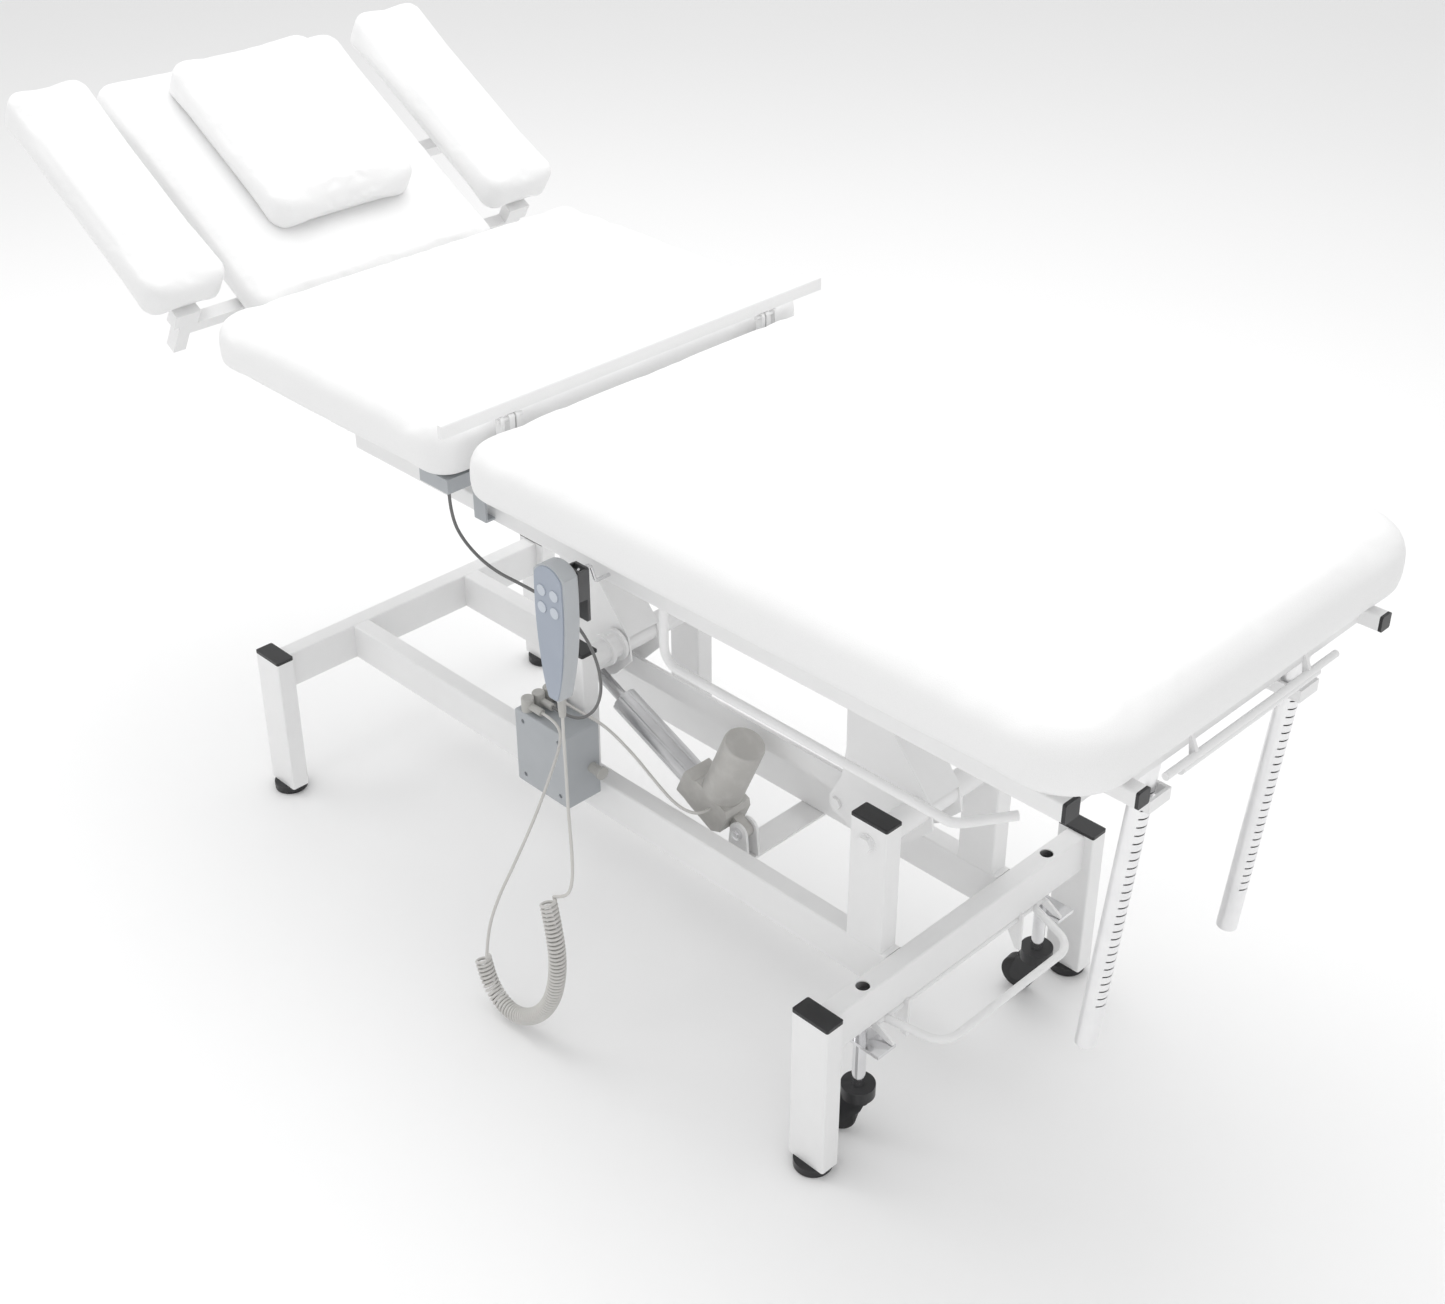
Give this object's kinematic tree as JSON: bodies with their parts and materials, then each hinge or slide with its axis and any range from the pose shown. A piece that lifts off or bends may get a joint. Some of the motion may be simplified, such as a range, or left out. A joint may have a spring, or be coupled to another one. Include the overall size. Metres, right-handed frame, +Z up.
{
  "type": "treatment bed",
  "caption": "Height-adjustable treatment bed with motor-driven lift and back, tilting head and leg sections, arm pads, hung remote handset and pedal-lowered casters.",
  "frame": {"origin": "on the floor, at the middle of the bed's bounding box", "axes": "+X to the foot end, +Y away from the side that carries the handset, +Z up"},
  "size_m": [1.9739, 0.7615, 1.0933],
  "materials": {
    "white_paint": "white powder coat, semi-gloss",
    "black_plastic": "black moulded plastic",
    "black_rubber": "black caster tread",
    "chrome": "bright plated steel",
    "bare_steel": "turned rod",
    "motor_grey": "warm grey cast housing",
    "box_grey": "mid grey moulded plastic",
    "handset_blue_grey": "blue grey face",
    "button": "pale button with ring",
    "dark_plastic": "dark clip",
    "cord_grey": "light grey flexible cord",
    "upholstery": "white synthetic leather over foam"
  },
  "bodies": {
    "base": {"base_legs": "white_paint", "tube_caps": "black_plastic", "levelling_feet": "black_plastic", "base_crossbar_head": "white_paint", "base_crossbar_foot": "white_paint", "base_rails": "white_paint", "pivot_posts": "white_paint", "pivot_axles": "white_paint", "actuator_mount": "white_paint", "clevis_pin": "chrome", "control_box": "box_grey", "control_box_cover": "box_grey", "cord_plugs": "cord_grey", "pedal_brackets": "white_paint", "lift_gearbox": "motor_grey", "lift_motor": "motor_grey", "lift_tube": "motor_grey", "lift_motor_cable": "cord_grey"},
    "cord_slack": {"handset_cord_coil": "cord_grey", "handset_cord_lower": "cord_grey", "back_motor_cable": "cord_grey"},
    "lift_arm_head": {"lift_arm_head": "white_paint"},
    "lift_arm_foot": {"lift_arm_foot": "white_paint"},
    "link_bar": {"link_bar": "white_paint"},
    "lift_rod": {"lift_rod": "bare_steel"},
    "lift_frame": {"lift_frame": "white_paint", "lift_frame_caps": "black_plastic", "side_bar": "white_paint", "handset_hook": "chrome", "cable_bracket": "box_grey", "hinge_strip": "upholstery", "back_actuator": "motor_grey", "handset_cord_upper": "cord_grey"},
    "back_rod": {"back_rod": "bare_steel"},
    "back_section": {"back_frame": "white_paint", "back_cushion": "upholstery"},
    "head_section": {"head_frame": "white_paint", "head_cushion": "upholstery"},
    "arm_pad_near": {"arm_pad_near": "upholstery"},
    "arm_pad_far": {"arm_pad_far": "upholstery"},
    "pillow": {"pillow": "upholstery"},
    "leg_section": {"leg_frame": "white_paint", "leg_frame_caps": "black_plastic", "leg_cushion": "upholstery", "lift_handle": "white_paint"},
    "props": {"prop_tubes": "chrome"},
    "handset": {"handset_shell": "box_grey", "handset_face": "handset_blue_grey", "handset_clip": "dark_plastic", "handset_strain_relief": "cord_grey"},
    "button_1": {"handset_button_1": "button"},
    "button_2": {"handset_button_2": "button"},
    "button_3": {"handset_button_3": "button"},
    "button_4": {"handset_button_4": "button"},
    "pedal": {"pedal_bar": "white_paint"},
    "casters": {"caster_stems": "chrome"},
    "swivel_near": {"caster_fork_near": "black_plastic"},
    "swivel_far": {"caster_fork_far": "black_plastic"},
    "wheel_near": {"caster_wheel_near": "black_rubber"},
    "wheel_far": {"caster_wheel_far": "black_rubber"}
  },
  "joints": [
    {"name": "height", "type": "hinge", "parent": "base", "child": "lift_arm_head", "pos_m": [-0.017, 0, 0.412], "axis": [0, 1, 0], "range_deg": [-41, 0], "deforming": ["handset_cord_upper", "handset_cord_lower", "handset_cord_coil", "back_motor_cable"]},
    {"name": "foot_arm", "type": "hinge", "parent": "base", "child": "lift_arm_foot", "pos_m": [0.545, 0, 0.412], "axis": [0, 1, 0], "range_deg": [-41, 0]},
    {"name": "link", "type": "hinge", "parent": "lift_arm_head", "child": "link_bar", "pos_m": [-0.155, 0.01, 0.35], "axis": [0, 1, 0], "range_deg": [0, 41]},
    {"name": "frame_level", "type": "hinge", "parent": "lift_arm_head", "child": "lift_frame", "pos_m": [-0.267, 0, 0.7], "axis": [0, 1, 0], "range_deg": [0, 41]},
    {"name": "cord_slack_drop", "type": "slide", "parent": "lift_frame", "child": "cord_slack", "axis": [0.4778, 0, 0.8785], "range_m": [0, 0.268]},
    {"name": "lift_ram", "type": "slide", "parent": "base", "child": "lift_rod", "axis": [-0.9197, 0, 0.3925], "range_m": [-0.0455, 0]},
    {"name": "back_tilt", "type": "hinge", "parent": "lift_frame", "child": "back_section", "pos_m": [0.0145, 0, 0.85], "axis": [0, 1, 0], "range_deg": [0, 65]},
    {"name": "back_ram", "type": "slide", "parent": "lift_frame", "child": "back_rod", "axis": [-0.9237, 0, 0.383], "range_m": [0, 0.1185]},
    {"name": "head_tilt", "type": "hinge", "parent": "back_section", "child": "head_section", "pos_m": [-0.61443, 0, 0.77546], "axis": [0, 1, 0], "range_deg": [-66, 4]},
    {"name": "arm_pad_near_lift", "type": "slide", "parent": "head_section", "child": "arm_pad_near", "axis": [0.515, 0, 0.8572], "range_m": [0, 0.08]},
    {"name": "arm_pad_far_lift", "type": "slide", "parent": "head_section", "child": "arm_pad_far", "axis": [0.515, 0, 0.8572], "range_m": [0, 0.08]},
    {"name": "pillow_lift", "type": "slide", "parent": "head_section", "child": "pillow", "axis": [0.515, 0, 0.8572], "range_m": [0, 0.08]},
    {"name": "leg_tilt", "type": "hinge", "parent": "lift_frame", "child": "leg_section", "pos_m": [0.0145, 0, 0.85], "axis": [0, -1, 0], "range_deg": [0, 18]},
    {"name": "prop_swing", "type": "hinge", "parent": "leg_section", "child": "props", "pos_m": [0.933, 0, 0.742], "axis": [0, 1, 0], "range_deg": [0, 12]},
    {"name": "handset_lift", "type": "slide", "parent": "lift_frame", "child": "handset", "axis": [0, 0, 1], "range_m": [0, 0.012]},
    {"name": "button_1_press", "type": "slide", "parent": "handset", "child": "button_1", "axis": [0, 1, 0], "range_m": [0, 0.0012], "stiffness_N_per_m": 400, "springref_m": -0.0005},
    {"name": "button_2_press", "type": "slide", "parent": "handset", "child": "button_2", "axis": [0, 1, 0], "range_m": [0, 0.0012], "stiffness_N_per_m": 400, "springref_m": -0.0005},
    {"name": "button_3_press", "type": "slide", "parent": "handset", "child": "button_3", "axis": [0, 1, 0], "range_m": [0, 0.0012], "stiffness_N_per_m": 400, "springref_m": -0.0005},
    {"name": "button_4_press", "type": "slide", "parent": "handset", "child": "button_4", "axis": [0, 1, 0], "range_m": [0, 0.0012], "stiffness_N_per_m": 400, "springref_m": -0.0005},
    {"name": "pedal_press", "type": "hinge", "parent": "base", "child": "pedal", "pos_m": [0.607, 0, 0.183], "axis": [0, 1, 0], "range_deg": [0, 25]},
    {"name": "caster_drop", "type": "slide", "parent": "base", "child": "casters", "axis": [0, 0, -1], "range_m": [0, 0.012]},
    {"name": "swivel_near_turn", "type": "hinge", "parent": "casters", "child": "swivel_near", "pos_m": [0.598, -0.188, 0.06], "axis": [0, 0, 1], "continuous": true},
    {"name": "swivel_far_turn", "type": "hinge", "parent": "casters", "child": "swivel_far", "pos_m": [0.598, 0.188, 0.06], "axis": [0, 0, 1], "continuous": true},
    {"name": "wheel_near_roll", "type": "hinge", "parent": "swivel_near", "child": "wheel_near", "pos_m": [0.57625, -0.19814, 0.029], "axis": [0.4226, -0.9063, 0], "continuous": true},
    {"name": "wheel_far_roll", "type": "hinge", "parent": "swivel_far", "child": "wheel_far", "pos_m": [0.57409, 0.18591, 0.029], "axis": [0.0872, -0.9962, 0], "continuous": true}
  ],
  "couplings": [
    {"joint": "foot_arm", "follows": "height", "ratio": 1},
    {"joint": "link", "follows": "height", "ratio": -1},
    {"joint": "frame_level", "follows": "height", "ratio": -1},
    {"joint": "cord_slack_drop", "follows": "height", "m_per_rad": -0.3732},
    {"joint": "lift_ram", "follows": "height", "m_per_rad": 0.0632},
    {"joint": "back_ram", "follows": "back_tilt", "m_per_rad": 0.1043},
    {"joint": "prop_swing", "follows": "leg_tilt", "ratio": 0.661},
    {"joint": "caster_drop", "follows": "pedal_press", "m_per_rad": 0.0275}
  ]
}
